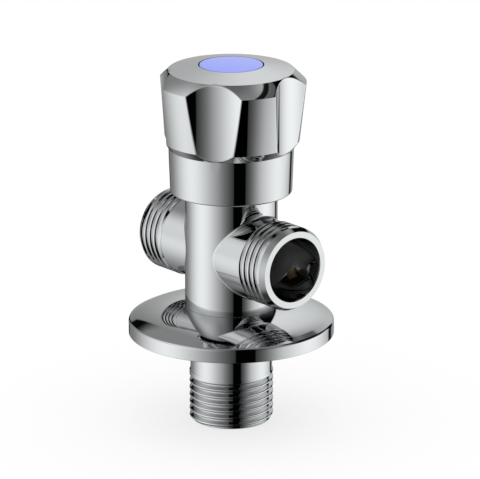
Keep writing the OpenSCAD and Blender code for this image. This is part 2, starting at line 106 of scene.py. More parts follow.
class Skin:
    """A surface laid from grids of points, each with its exact normal."""

    def __init__(self):
        self.points, self.normals, self.quads, self.inside, self.count = [], [], [], [], 0

    def grid(self, points, normals, inside=False):
        """Adds a grid of points [rows, columns, 3] and the normals that go with them.

        Inside marks a surface that isn't polished, and that gets the darker inner plating whose
        darkness is painted shade.
        """
        rows, columns = points.shape[:2]
        index = np.arange(rows * columns).reshape(rows, columns)
        quads = np.stack([index[:-1, :-1], index[:-1, 1:], index[1:, 1:], index[1:, :-1]], -1)
        quads = quads.reshape(-1, 4)
        p, n = points.reshape(-1, 3), np.broadcast_to(normals, points.shape).reshape(-1, 3)
        across = np.cross(p[quads[:, 2]] - p[quads[:, 0]], p[quads[:, 3]] - p[quads[:, 1]])
        back = (across * n[quads].sum(1)).sum(1) < 0
        quads[back] = quads[back][:, ::-1]
        self.points.append(p)
        self.normals.append(n)
        self.quads.append(quads + self.count)
        self.inside.append(np.full(len(quads), inside))
        self.count += len(p)

    def build(self, name):
        """Welds the grids where they meet and makes the object."""
        points, normals = np.concatenate(self.points), np.concatenate(self.normals)
        quads = np.concatenate(self.quads)
        _, first, weld = np.unique(np.round(points, 3), axis=0, return_index=True,
                                   return_inverse=True)
        corners = weld.reshape(-1)[quads]
        faces, loops, dull_painted_shade = [], [], []
        for face, quad, inside in zip(corners.tolist(), quads.tolist(),
                                      np.concatenate(self.inside).tolist()):
            kept = [i for i in range(4) if face[i] != face[i - 1]]
            if len({face[i] for i in kept}) == len(kept) > 2:
                faces.append([face[i] for i in kept])
                loops.extend(quad[i] for i in kept)
                dull_painted_shade.append(int(inside))
        mesh = bpy.data.meshes.new(name)
        mesh.from_pydata((points[first] * MM).tolist(), [], faces)
        mesh.polygons.foreach_set("use_smooth", [True] * len(faces))
        mesh.polygons.foreach_set("material_index", dull_painted_shade)
        mesh.normals_split_custom_set(normals[loops].tolist())
        obj = bpy.data.objects.new(name, mesh)
        bpy.context.scene.collection.objects.link(obj)
        return obj


def rounded(path, steps=4):
    """Points and normals along a path of (r, z, rounding), with steps to a quarter circle.

    The normal is on the path's right.
    """
    corners = [np.array(c[:2], float) for c in path]
    points, normals = [], []
    for i, corner in enumerate(corners):
        before = corner - corners[i - 1] if i else None
        after = corners[i + 1] - corner if i + 1 < len(corners) else None
        if before is None or after is None:
            along = after if before is None else before
            along = along / np.linalg.norm(along)
            points.append(corner)
            normals.append(np.array([along[1], -along[0]]))
            continue
        before, after = before / np.linalg.norm(before), after / np.linalg.norm(after)
        first = np.array([before[1], -before[0]])
        bend = math.atan2(before[0] * after[1] - before[1] * after[0], before @ after)
        radius = path[i][2]
        start = corner - before * radius * math.tan(abs(bend) / 2)
        side = 1 if bend > 0 else -1
        centre = start - side * radius * first
        count = max(1, round(steps * abs(bend) / (math.pi / 2) + 0.5))
        for k in range(count + 1):
            a = bend * k / count
            n = first * math.cos(a) + np.array([-first[1], first[0]]) * math.sin(a)
            points.append(centre + side * radius * n)
            normals.append(n)
    return np.array(points), np.array(normals)


def filled(points, normals, spacing):
    """The same profile with more points on its straight runs."""
    out_p, out_n = [points[0]], [normals[0]]
    for p0, p1, n0, n1 in zip(points, points[1:], normals, normals[1:]):
        count = max(1, math.ceil(np.linalg.norm(p1 - p0) / spacing))
        for k in range(1, count + 1):
            t = k / count
            out_p.append(p0 + (p1 - p0) * t)
            out_n.append(n0 + (n1 - n0) * t)
    return np.array(out_p), unit(np.array(out_n))


def circle(columns):
    """Cosines and sines of a full turn's columns. The last ones are the first again."""
    theta = np.linspace(0, TURN, columns + 1)
    theta[-1] = 0
    return np.cos(theta), np.sin(theta)


def turned(points, normals, c, s):
    """A profile's points and normals turned about Z to columns with those cosines and sines."""
    return [np.stack([v[:, :1] * c, v[:, :1] * s, np.broadcast_to(v[:, 1:], (len(v), len(c)))], -1)
            for v in (points, normals)]


def revolve(skin, points, normals, columns, place=None, inside=False):
    """Lays a profile turned about Z, or about the axis that place maps Z to."""
    grid, tilt = turned(points, normals, *circle(columns))
    if place:
        grid, tilt = place(grid, True), place(tilt, False)
    skin.grid(grid, tilt, inside)


def spun(vectors, angle):
    """Vectors turned about Z."""
    c, s = math.cos(angle), math.sin(angle)
    x, y, z = vectors[..., 0], vectors[..., 1], vectors[..., 2]
    return np.stack([c * x - s * y, s * x + c * y, z], -1)


def unit(vectors):
    return vectors / np.linalg.norm(vectors, axis=-1, keepdims=True)


# Valve body

# Radius of the fillet between an outlet's neck and the barrel
FILLET = 0.65
# Reach of the barrel's patch around an outlet, above and below the outlet's axis
PATCH_H = 12.4
# Depth to which a bore's mouth is polished
MOUTH = 0.5
# Rows over each of these
FILLET_STEPS, PATCH_STEPS, NECK_STEPS, BORE_STEPS = 8, 8, 6, 8
# Distance between a thread's rows, and steps to a quarter circle of its groove's roundings
THREAD_STEP, THREAD_ARC = 0.06, 8
# Lengths along the axis in which a groove gains and loses its depth
GROOVE_START, GROOVE_END = 0.5, 0.2


class Thread:
    """A thread on the body: turns, end chamfer, groove, and where the grooves start and end."""

    def __init__(self, turns, chamfer_len, width, depth, soft, lead, start, end):
        self.length, self.chamfer_len, self.lead = turns * PITCH, chamfer_len, lead
        self.start, self.end = start, end
        half, land = width / 2, PITCH - width / 2
        path = [(-half, 0, 0), (0, -depth, soft), (half, 0, soft), (land, 0, soft),
                (PITCH, -depth, soft), (PITCH + half, 0, 0)]
        points, normals = rounded([(-s, d, r) for s, d, r in path], THREAD_ARC)
        self.along, self.depth, self.out, self.side = (
            -points[:, 0], points[:, 1], normals[:, 1], -normals[:, 0])

    def lay(self, skin, columns, place=None):
        """Lays it from the end face's rim to the plain neck, along local +Z."""
        c, s = circle(columns)
        reach = self.length + PITCH
        z = np.linspace(0, reach, round(reach / THREAD_STEP) + 1)[:, None]
        way = z - PITCH * np.linspace(0, 1, columns + 1) - self.lead
        depth, n_out, n_side = (np.interp(way % PITCH, self.along, values)
                                for values in (self.depth, self.out, self.side))
        # The middle of each groove says how much of it there is
        middle = z - ((way + PITCH / 2) % PITCH - PITCH / 2)
        full = (np.clip((middle - self.start) / GROOVE_START, 0, 1)
                * np.clip((self.end - middle) / GROOVE_END, 0, 1))
        depth, n_side = depth * full, n_side * full
        r = np.minimum(THREAD_R + depth, np.where(z > self.length, NECK_R, THREAD_R))
        plain = THREAD_R + depth > r
        n_out = np.where(plain, 1, n_out)
        n_side = np.where(plain, 0, n_side)
        # The end's chamfer cuts what is there
        chamfer = THREAD_R - END_RIM_R
        cone = END_RIM_R + chamfer * z / self.chamfer_len
        cut = cone < r
        r = np.where(cut, cone, r)
        n_out = np.where(cut, self.chamfer_len, n_out)
        n_side = np.where(cut, -chamfer, n_side)
        grid = np.stack([r * c, r * s, np.broadcast_to(z, r.shape)], -1)
        normal = unit(np.stack([n_out * c, n_out * s, n_side], -1))
        if place:
            grid, normal = place(grid, True), place(normal, False)
        skin.grid(grid, normal)


INLET_THREAD = Thread(INLET_TURNS, INLET_CHAMFER_LEN, width=1.45, depth=1.39, soft=0.23,
                      lead=0.5, start=-1, end=12)
OUTLET_THREAD = Thread(OUTLET_TURNS, OUTLET_CHAMFER_LEN, width=1.2, depth=1.1, soft=0.15,
                       lead=1.56, start=1.5, end=9.2)


def outlet_place(turn):
    """Maps an outlet's local frame, drawn from its end face along +Z, to the row frame."""
    def place(vectors, is_point):
        x, y, z = vectors[..., 0], vectors[..., 1], vectors[..., 2]
        out = np.stack([(OUTLET_REACH if is_point else 0) - z, y,
                        x + (OUTLET_Z if is_point else 0)], -1)
        return spun(out, turn)
    return place


def patch(skin, wall_r, hole, half_h, turn, inside=False):
    """Half of an upright wall with a hole in it, from the hole's edge to the half's own edge."""
    side = (len(hole) - 1) // 4
    ramp, ones = np.linspace(-1, 1, side + 1), np.ones(side + 1)
    phi = np.concatenate([ones[:-1], -ramp[:-1], -ones[:-1], ramp]) * math.pi / 2
    height = np.concatenate([ramp[:-1], ones[:-1], -ramp[:-1], -ones]) * half_h
    phi, height = (np.roll(values[:-1], -side // 2) for values in (phi, height))
    phi, height = np.append(phi, phi[0]), np.append(height, height[0])
    inner = np.arctan2(hole[:, 1], hole[:, 0])
    t = np.linspace(0, 1, PATCH_STEPS + 1)[:, None]
    a, z = inner + (phi - inner) * t, hole[:, 2] + (height - hole[:, 2]) * t
    normal = np.stack([np.cos(a), np.sin(a), np.zeros_like(a)], -1)
    point = normal * wall_r
    point[..., 2] = z + OUTLET_Z
    skin.grid(spun(point, turn), spun(-normal if inside else normal, turn), inside)


def outlet(skin, turn):
    """One outlet with its fillet, bore, and the half of the barrel and chamber around it."""
    place = outlet_place(turn)
    c, s = circle(BODY_COLUMNS)
    lift = np.array([0, 0, OUTLET_Z])

    def straight(radius, start, end, steps, facing):
        """A neck or bore, from a plane to the curve where it meets an upright wall."""
        t = np.linspace(0, 1, steps + 1)[:, None]
        rows = np.stack([start + (end - start) * t, radius * c + 0 * t, radius * s + 0 * t], -1)
        normal = np.stack([0 * c, facing * c, facing * s], -1)
        skin.grid(spun(rows + lift, turn),
                  spun(np.broadcast_to(normal, rows.shape), turn), facing < 0)

    OUTLET_THREAD.lay(skin, BODY_COLUMNS, place)
    # Fillet: a ball rolls along both the neck and the barrel
    y, z = (NECK_R + FILLET) * c, (NECK_R + FILLET) * s
    x = np.sqrt((BARREL_R + FILLET) ** 2 - y ** 2)
    ball = np.stack([x, y, z], -1)
    to_neck = np.stack([np.zeros_like(c), -c, -s], -1)
    to_barrel = np.stack([-x, -y, np.zeros_like(x)], -1) / (BARREL_R + FILLET)
    spread = np.arccos(np.clip((to_neck * to_barrel).sum(-1), -1, 1))[:, None]
    way = np.array([(np.sin((1 - t) * spread) * to_neck + np.sin(t * spread) * to_barrel)
                    / np.sin(spread) for t in np.linspace(0, 1, FILLET_STEPS + 1)])
    skin.grid(spun(ball + FILLET * way + lift, turn), spun(-way, turn))
    # Plain neck, from the thread's end to the fillet
    straight(NECK_R, OUTLET_REACH - (OUTLET_TURNS + 1) * PITCH, x, NECK_STEPS, 1)
    patch(skin, BARREL_R, ball + FILLET * to_barrel, PATCH_H, turn)

    # End face and bore
    points, normals = rounded([(OUTLET_BORE_R, BORE_CHAMFER + MOUTH, 0),
                               (OUTLET_BORE_R, BORE_CHAMFER, SHARP),
                               (OUTLET_BORE_R + BORE_CHAMFER, 0, FINE), (END_RIM_R, 0, 0)])
    revolve(skin, points, normals, BODY_COLUMNS, place)
    y, z = OUTLET_BORE_R * c, OUTLET_BORE_R * s
    x = np.sqrt(CHAMBER_R ** 2 - y ** 2)
    straight(OUTLET_BORE_R, OUTLET_REACH - BORE_CHAMFER - MOUTH, x, BORE_STEPS, -1)
    patch(skin, CHAMBER_R, np.stack([x, y, z], -1), OUTLET_Z - SEAT_Z, turn, True)


def make_body():
    skin = Skin()
    for turn in (0, math.pi):
        outlet(skin, turn)
    barrel_top = [(BARREL_R, OUTLET_Z + PATCH_H, 0),
                  (BARREL_R, BARREL_TOP_Z - BARREL_CHAMFER, PLAIN),
                  (BARREL_R - BARREL_CHAMFER, BARREL_TOP_Z, PLAIN),
                  (HEAD_BORE_R, BARREL_TOP_Z, 0)]
    head_bore = [(HEAD_BORE_R, BARREL_TOP_Z, 0), (HEAD_BORE_R, CHAMBER_TOP_Z, SHARP),
                 (CHAMBER_R, CHAMBER_TOP_Z, SHARP), (CHAMBER_R, OUTLET_Z * 2 - SEAT_Z, 0)]
    seat = [(CHAMBER_R, SEAT_Z, 0), (SEAT_HOLE_R, SEAT_Z, SHARP),
            (SEAT_HOLE_R, SEAT_Z - SEAT_WALL, SHARP), (INLET_BORE_R, SEAT_Z - SEAT_WALL, SHARP),
            (INLET_BORE_R, BORE_CHAMFER, 0)]
    inlet_end = [(INLET_BORE_R, BORE_CHAMFER, 0), (INLET_BORE_R + BORE_CHAMFER, 0, FINE),
                 (END_RIM_R, 0, 0)]
    neck = [(NECK_R, (INLET_TURNS + 1) * PITCH, 0), (NECK_R, CROWN_Z, SHARP),
            (BARREL_R, CROWN_Z, FINE), (BARREL_R, OUTLET_Z - PATCH_H, 0)]
    for path, inside in ((barrel_top, False), (head_bore, True), (seat, True), (inlet_end, False)):
        revolve(skin, *rounded(path), BODY_COLUMNS, inside=inside)
    INLET_THREAD.lay(skin, BODY_COLUMNS)
    revolve(skin, *rounded(neck), BODY_COLUMNS)
    return skin.build("body_shell")


# Escutcheon

def make_cover():
    outer, outer_n = rounded(DOME_PATH, steps=60)
    inner = outer - SHEET * outer_n
    foot = rounded([(COVER_R - SHEET, DOME_PATH[0][1], 0), (COVER_R - SHEET, FOOT_Z, BLUNT),
                    (COVER_R, FOOT_Z, BLUNT), DOME_PATH[0]])
    hole = rounded([(*outer[-1], 0), (COVER_HOLE_R, outer[-1][1], PLAIN),
                    (COVER_HOLE_R, inner[-1][1], PLAIN), (*inner[-1], 0)])
    skin = Skin()
    for points, normals in (foot, (outer, outer_n), hole):
        revolve(skin, points, normals, COVER_COLUMNS)
    revolve(skin, inner, -outer_n, COVER_COLUMNS, inside=True)
    return skin.build("escutcheon_shell")


# Handwheel

# Roundings: between a flute and the blank, at the bevels, and around the button's recess
FLUTE_EDGE, BEVEL_EDGE, RECESS_EDGE = 0.16, 0.14, 0.06
# Corner of the upper bevel, which its wide rounding turns into a slight bulge
BEVEL_BULGE = (17.15, 88.52, 24.0)
# The blank from the skirt's inner edge, up the outside and down into the recess
WHEEL_PATH = [
    (SKIRT_FOOT_R - WALL, WHEEL_Z, 0), (SKIRT_FOOT_R, WHEEL_Z, SKIRT_ROUND),
    (FACE_R, SKIRT_TOP_Z, SHARP), (GRIP_FOOT_R, GRIP_FOOT_Z, BEVEL_EDGE),
    (GRIP_TOP_R, GRIP_TOP_Z, FLUTE_EDGE), BEVEL_BULGE, (FACE_R, BEVEL_TOP_Z, BEVEL_EDGE),
    (RECESS_R, WHEEL_TOP_Z, RECESS_EDGE), (RECESS_R, RECESS_Z, 0)]
# The cavity from the same edge up to the ceiling, of which it lays this outer strip
CEILING_STRIP = 0.5
CAVITY_PATH = [
    (SKIRT_FOOT_R - WALL, WHEEL_Z, 0), (SKIRT_FOOT_R - WALL, SKIRT_TOP_Z - WALL, PLAIN),
    (GRIP_FOOT_R - WALL, GRIP_FOOT_Z, PLAIN), (GRIP_TOP_R - WALL, GRIP_TOP_Z, PLAIN),
    (FACE_R - WALL, CAVITY_TOP_Z, PLAIN), (FACE_R - WALL - CEILING_STRIP, CAVITY_TOP_Z, 0)]
# Rounding of the hub's lower edge, and width of the ring that its wall's grid goes on to
HUB_EDGE, HUB_RING = 0.3, 1
# Distance between rows, outside and in the cavity
ROW_GAP, CAVITY_ROW_GAP = 0.8, 1.5
# Columns over half a flute, over its edge and over half a lobe. Those in the flute crowd towards
# its edge, and the edge's own band is this wide to each side, in radians.
FLUTE_COLUMNS, EDGE_COLUMNS, LOBE_COLUMNS = 20, 12, 10
FLUTE_CROWDING, EDGE_BAND = 1.3, 0.022
# Least half angle of a flute, where the blank is no wider than the flutes' floors
LEAST_FLUTE = math.radians(1.6)
# The radius is found between this and the blank's own by halving
CORE_R, HALVINGS = 5.0, 46
# How far a rib is let into the hub, and into the wall at its foot and at the grip's top, and how
# much higher and shorter than there its upper edge is
RIB_IN_HUB, RIB_IN_FOOT, RIB_IN_TOP, RIB_RISE, RIB_SLANT = 0.4, 0.8, 0.3, 0.8, 0.9


def wheel_columns(edge):
    """Angles from the middle of one flute to the middle of the next lobe, for each row."""
    half = math.pi / LOBES
    edge = edge[:, None]
    flute, band, lobe = (np.linspace(0, 1, count + 1)
                         for count in (FLUTE_COLUMNS, EDGE_COLUMNS, LOBE_COLUMNS))
    before = (edge - EDGE_BAND) * (1 - (1 - flute[:-1]) ** FLUTE_CROWDING)
    around = edge - EDGE_BAND + 2 * EDGE_BAND * band[:-1]
    after = edge + EDGE_BAND + (half - edge - EDGE_BAND) * lobe
    return np.concatenate([before, around, after], 1)


def wheel_rows(points, normals, flute_r, rounding):
    """Points and normals on a blank's profile cut by the flutes, all the way round."""
    r_blank, z = points[:, 0], points[:, 1]
    reach = (FLUTE_CENTRE ** 2 + r_blank ** 2 - flute_r ** 2) / (2 * FLUTE_CENTRE * r_blank)
    psi = wheel_columns(np.maximum(np.arccos(np.clip(reach, -1, 1)), LEAST_FLUTE))
    c, s = np.cos(psi), np.sin(psi)
    nr, nz = normals[:, :1], normals[:, 1:]

    def sides(r):
        """Distances outside the blank's face and the flute's, both moved in by the rounding."""
        over = (r - r_blank[:, None]) * nr
        gap = flute_r - np.hypot(r * c - FLUTE_CENTRE, r * s)
        return over + rounding, gap + rounding

    low = np.full(psi.shape, CORE_R)
    high = np.broadcast_to(r_blank[:, None], psi.shape)
    for _ in range(HALVINGS):
        middle = (low + high) / 2
        a, b = sides(middle)
        off = np.hypot(np.maximum(a, 0), np.maximum(b, 0)) + np.minimum(np.maximum(a, b), 0)
        outside = off > rounding
        high = np.where(outside, middle, high)
        low = np.where(outside, low, middle)
    r = (low + high) / 2
    a, b = (np.maximum(v, 0) for v in sides(r))
    x, y = r * c, r * s
    away = unit(np.stack([FLUTE_CENTRE - x, -y], -1))
    total = np.maximum(a + b, 1e-9)
    normal = np.stack([(a * nr * c + b * away[..., 0]) / total,
                       (a * nr * s + b * away[..., 1]) / total, a * nz / total], -1)
    point = np.stack([x, y, np.broadcast_to(z[:, None], x.shape)], -1)
    # Mirror to the flute's other half, then turn both round the wheel
    flip = np.array([1, -1, 1])
    out = []
    for half in (point, normal):
        whole = np.concatenate([(half * flip)[:, :0:-1], half], 1)
        turns = [spun(whole, FLUTE_TURN + TURN * k / LOBES) for k in range(LOBES)]
        out.append(np.concatenate([v[:, :-1] for v in turns] + [turns[0][:, :1]], 1))
    return out[0], unit(out[1])


def lofted(skin, upper, lower, facing):
    """A strip between two rows of points with one normal for all."""
    skin.grid(np.stack([upper, lower]), np.broadcast_to(facing, (2,) + upper.shape))


def angles_of(row):
    """A row's own angles about Z."""
    return np.arctan2(row[:, 1], row[:, 0])


def make_wheel():
    skin = Skin()
    points, normals = filled(*rounded(WHEEL_PATH, steps=6), ROW_GAP)
    recess = int(np.argmax(normals[:, 0] < 0))
    outside, outside_n = wheel_rows(points[:recess], normals[:recess], FLUTE_R, FLUTE_EDGE)
    skin.grid(outside, outside_n)
    angles = angles_of(outside[-1])
    recess_p, recess_n = turned(points[recess - 1:], normals[recess - 1:],
                                np.cos(angles), np.sin(angles))
    skin.grid(recess_p, recess_n, True)

    # Inside: wall that follows the lobes, ceiling, hub, bore for the bush, web and screw hole
    points, normals = filled(*rounded(CAVITY_PATH, steps=3), CAVITY_ROW_GAP)
    cavity, cavity_n = wheel_rows(points, normals, FLUTE_R + WALL, SHARP)
    skin.grid(cavity, -cavity_n, True)
    angles = angles_of(cavity[-1])
    c, s = np.cos(angles), np.sin(angles)

    def ring(radius, z):
        return np.stack([radius * c, radius * s, np.full(len(c), z)], -1)

    def wall(radius, low, high):
        way = np.stack([-c, -s, 0 * c], -1)
        skin.grid(np.stack([ring(radius, low), ring(radius, high)]), np.stack([way, way]))

    lofted(skin, cavity[-1], ring(HUB_R, CAVITY_TOP_Z), (0, 0, -1))
    # The hub's wall keeps its path's own normals, which face the bore
    hub, hub_n = turned(*rounded([(HUB_R, CAVITY_TOP_Z, 0), (HUB_R, HUB_Z, HUB_EDGE),
                                  (HUB_R - HUB_RING, HUB_Z, 0)]), c, s)
    skin.grid(hub, hub_n)
    quarter = (angles + math.pi / 4) % (math.pi / 2) - math.pi / 4
    key = np.abs(quarter) < math.atan((BUSH_KEY / 2 + FIT) / (BUSH_SEAT_R + BUSH_KEY / 2))
    bore_r = np.where(key, BUSH_SEAT_R + BUSH_KEY, BUSH_SEAT_R)
    lofted(skin, hub[-1], ring(bore_r, HUB_Z), (0, 0, -1))
    wall(bore_r, HUB_Z, WEB_Z)
    lofted(skin, ring(bore_r, WEB_Z), ring(SCREW_HOLE_R, WEB_Z), (0, 0, -1))
    wall(SCREW_HOLE_R, WEB_Z, RECESS_Z)
    lofted(skin, ring(SCREW_HOLE_R, RECESS_Z), recess_p[-1], (0, 0, 1))
    for k in range(LOBES):
        rib(skin, FLUTE_TURN + TURN * (k + 0.5) / LOBES)
    return skin.build("handwheel_shell")


def rib(skin, angle):
    """Rib between the hub and a lobe's wall, let into both."""
    near, far = HUB_R - RIB_IN_HUB, GRIP_TOP_R - WALL + RIB_IN_TOP
    top, half = GRIP_TOP_Z + RIB_RISE, RIB_T / 2
    outline = np.array([[near, HUB_Z], [GRIP_FOOT_R - WALL + RIB_IN_FOOT, HUB_Z],
                        [far, GRIP_TOP_Z], [far - RIB_SLANT, top], [near, top]])

    def face(grid, normal):
        skin.grid(spun(grid, angle), spun(np.broadcast_to(normal, grid.shape), angle))

    for a, b in zip(outline, np.roll(outline, -1, 0)):
        along = unit(b - a)
        face(np.array([[[p[0], side * half, p[1]] for side in (-1, 1)] for p in (a, b)]),
             np.array([along[1], 0, -along[0]]))
    for side in (-1, 1):
        p = np.array([[r, side * half, z] for r, z in outline])
        face(np.array([[p[0], p[4], p[4]], [p[1], p[2], p[3]]]), np.array([0.0, side, 0.0]))


# Index button

# The dome's rows start inside the rounded edge
DOME_START_R, DOME_ROWS = BUTTON_R - 1, 14


def make_button():
    dome_r = (BUTTON_R ** 2 + BUTTON_DOME ** 2) / (2 * BUTTON_DOME)
    top = RECESS_Z + BUTTON_H
    pocket_z = RECESS_Z + BUTTON_POCKET_H
    skin = Skin()
    points, normals = rounded([
        (0, pocket_z, 0), (BUTTON_POCKET_R, pocket_z, SHARP), (BUTTON_POCKET_R, RECESS_Z, SHARP),
        (BUTTON_R, RECESS_Z, PLAIN), (BUTTON_R, top, BLUNT),
        (DOME_START_R, top + BUTTON_DOME * (1 - (DOME_START_R / BUTTON_R) ** 2), 0)], steps=8)
    revolve(skin, points, normals, BUTTON_COLUMNS)
    r = np.linspace(DOME_START_R, 0, DOME_ROWS)
    z = top + BUTTON_DOME - dome_r + np.sqrt(dome_r ** 2 - r ** 2)
    z[0] = points[-1, 1]
    rise = np.stack([r / dome_r, np.sqrt(1 - (r / dome_r) ** 2)], -1)
    rise[0] = normals[-1]
    revolve(skin, np.stack([r, z], -1), rise, BUTTON_COLUMNS)
    return skin.build("index_button_cap")


# Materials

# How far the roughness varies to each side, and the height in metres of a bump of strength 1
GLOSS_SPREAD = 0.3
BUMP_HEIGHT = 0.0001


def material(name, colour, metallic, roughness, wear, scale=400.0, bump=0.0, **sockets):
    """A principled material whose colour and roughness vary a little through noise."""
    mat = bpy.data.materials.new(name)
    mat.use_nodes = True
    nodes, links = mat.node_tree.nodes, mat.node_tree.links
    shader = nodes["Principled BSDF"]
    shader.inputs["Metallic"].default_value = metallic
    for socket, value in sockets.items():
        shader.inputs[socket.replace("_", " ")].default_value = value
    where = nodes.new("ShaderNodeTexCoord")
    noise = nodes.new("ShaderNodeTexNoise")
    noise.inputs["Scale"].default_value = scale
    noise.inputs["Detail"].default_value = 3
    links.new(where.outputs["Object"], noise.inputs["Vector"])
    tint = nodes.new("ShaderNodeMapRange")
    tint.inputs["To Min"].default_value = 1 - wear
    tint.inputs["To Max"].default_value = 1 + wear
    links.new(noise.outputs["Fac"], tint.inputs["Value"])
    paint = nodes.new("ShaderNodeVectorMath")
    paint.operation = "SCALE"
    paint.inputs[0].default_value = colour
    links.new(tint.outputs["Result"], paint.inputs["Scale"])
    links.new(paint.outputs["Vector"], shader.inputs["Base Color"])
    gloss = nodes.new("ShaderNodeMapRange")
    gloss.inputs["To Min"].default_value = roughness * (1 - GLOSS_SPREAD)
    gloss.inputs["To Max"].default_value = roughness * (1 + GLOSS_SPREAD)
    links.new(noise.outputs["Fac"], gloss.inputs["Value"])
    links.new(gloss.outputs["Result"], shader.inputs["Roughness"])
    if bump:
        relief = nodes.new("ShaderNodeBump")
        relief.inputs["Strength"].default_value = bump
        relief.inputs["Distance"].default_value = BUMP_HEIGHT
        links.new(noise.outputs["Fac"], relief.inputs["Height"])
        links.new(relief.outputs["Normal"], shader.inputs["Normal"])
    return mat


# Colour, metallic, roughness, wear, scale of the noise, and bump
FINISHES = {
    "chrome_plate": material("chrome_plate", (0.60, 0.605, 0.61), 1.0, 0.03, 0.01, 300,
                             Specular_Tint=(0.72, 0.72, 0.72, 1.0)),
    # Nickel plate and brass keep their own hues, darkened as painted shade for the dim bores in
    # which they show
    "nickel_plate": material("nickel_plate", (0.36, 0.36, 0.355), 0.7, 0.5, 0.05, 900, 0.1),
    "brass": material("brass", (0.28, 0.22, 0.125), 1.0, 0.45, 0.06, 900, 0.1),
    "stainless": material("stainless", (0.62, 0.62, 0.61), 1.0, 0.3, 0.05, 900, 0.1),
    "seal_rubber": material("seal_rubber", (0.02, 0.02, 0.021), 0.0, 0.5, 0.2, 1500, 0.2),
    "ceramic": material("ceramic", (0.80, 0.80, 0.77), 0.0, 0.22, 0.02, 1200),
    "white_plastic": material("white_plastic", (0.72, 0.72, 0.68), 0.0, 0.45, 0.03, 1500, 0.1),
    "index_blue": material("index_blue", (0.24, 0.30, 0.93), 0.0, 0.14, 0.03, 200,
                           Specular_IOR_Level=0.25),
}
# Plating that no polish reached, inside the polished pieces: rougher, and with its colour darkened
# as painted shade of the hollows
DULL_PLATE_PAINTED_SHADE = material("chrome_inside_painted_shade", (0.25, 0.254, 0.26), 0.5, 0.45, 0.05, 700, 0.1)


def finish_piece(obj, slot):
    obj.data.materials.clear()
    obj.data.materials.append(FINISHES[slot])


SHELLS = (
    (make_body, "valve_body", "body", "chrome_plate"),
    (make_cover, "escutcheon", "wall_cover", "chrome_plate"),
    (make_wheel, "handwheel", "handle", "chrome_plate"),
    (make_button, "index_button", "handle", "index_blue"),
)
for make, node, body, slot in SHELLS:
    piece = make()
    finish_piece(piece, slot)
    # Inner surfaces take the dull plating, whose darker colour is painted shade
    if slot == "chrome_plate":
        piece.data.materials.append(DULL_PLATE_PAINTED_SHADE)
    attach(piece, body)
    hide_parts(node)
replaced = {node for _, node, _, _ in SHELLS}
for part in frame["record"]["subparts"]:
    if part["node"] not in replaced:
        finish_piece(frame["nodes"][part["node"]], part["material_slot"])


# Camera, light and floor

scene = bpy.context.scene
scene.view_settings.view_transform = "Standard"

CAMERA_AT = Vector((0.7443, -0.6158, 0.3420))
CAMERA_TO = Vector((0.00138, 0.00167, 0.04638))
lens = bpy.data.cameras.new("camera")
lens.lens, lens.sensor_width, lens.clip_end = 305.76, 36, 10
camera = bpy.data.objects.new("camera", lens)
camera.location = CAMERA_AT
camera.rotation_euler = (CAMERA_TO - CAMERA_AT).to_track_quat("-Z", "Y").to_euler()
scene.collection.objects.link(camera)
scene.camera = camera

# Studio: its tones by direction, as the mirror finish shows them. Angles are in degrees, with the
# azimuth counted from the camera's side and positive to the camera's right.

world = bpy.data.worlds.new("studio")
scene.world = world
world.use_nodes = True
sky = world.node_tree.nodes
wires = world.node_tree.links


def feed(node, *values):
    """Puts numbers or sockets into a node's inputs and gives back its first output."""
    for socket, value in zip(node.inputs, values):
        if isinstance(value, bpy.types.NodeSocket):
            wires.new(value, socket)
        else:
            socket.default_value = value
    return node.outputs[0]


def calc(operation, *values):
    node = sky.new("ShaderNodeMath")
    node.operation = operation
    return feed(node, *values)


def fade(value, full, none):
    """1 at full and beyond, and 0 at none and beyond, with a smooth change between."""
    node = sky.new("ShaderNodeMapRange")
    node.interpolation_type = "SMOOTHSTEP"
    return feed(node, value, full, none, 1.0, 0.0)


def product(*values):
    out = values[0]
    for value in values[1:]:
        out = calc("MULTIPLY", out, value)
    return out


heading = sky.new("ShaderNodeVectorRotate")
heading.rotation_type = "Z_AXIS"
wires.new(sky.new("ShaderNodeTexCoord").outputs["Generated"], heading.inputs["Vector"])
heading.inputs["Angle"].default_value = -math.atan2(CAMERA_AT.y, CAMERA_AT.x)
toward = sky.new("ShaderNodeSeparateXYZ")
wires.new(heading.outputs["Vector"], toward.inputs["Vector"])
TO_CAMERA, TO_RIGHT, TO_TOP = toward.outputs
AZIMUTH = calc("DEGREES", calc("ARCTAN2", TO_RIGHT, TO_CAMERA))
ELEVATION = calc("DEGREES", calc("ARCSINE", TO_TOP))


def azimuth_off(centre):
    """How far the azimuth is from a centre, across the back too."""
    return calc("ABSOLUTE", calc("WRAP", calc("SUBTRACT", AZIMUTH, centre), 180.0, -180.0))


def elevation_off(centre):
    return calc("ABSOLUTE", calc("SUBTRACT", ELEVATION, centre))


def glow(centre, half, middle, reach, lean=0.0):
    """A wide soft light, brightest at its centre, that leans as it goes up."""
    shift = calc("MULTIPLY_ADD", ELEVATION, lean, centre - lean * middle)
    return product(fade(azimuth_off(shift), 0.0, half), fade(elevation_off(middle), 0.0, reach))


def flag(start, end, half, edge):
    """A dark strip with soft edges between two directions."""
    span = (end[0] - start[0], end[1] - start[1])
    length = math.hypot(*span)
    u = calc("SUBTRACT", AZIMUTH, start[0])
    v = calc("SUBTRACT", ELEVATION, start[1])
    along = calc("ADD", product(u, span[0] / length), product(v, span[1] / length))
    across = calc("SUBTRACT", product(v, span[0] / length), product(u, span[1] / length))
    beyond = calc("SUBTRACT", calc("ABSOLUTE", calc("SUBTRACT", along, length / 2)), length / 2)
    beyond = calc("MAXIMUM", beyond, 0.0)
    off = calc("SQRT", calc("ADD", product(across, across), product(beyond, beyond)))
    return fade(off, half - edge, half + edge)


def between(low, high, edge_low, edge_high, value):
    """1 between two values, with its own soft edge at each."""
    return product(fade(value, low + edge_low, low - edge_low),
                   fade(value, high - edge_high, high + edge_high))


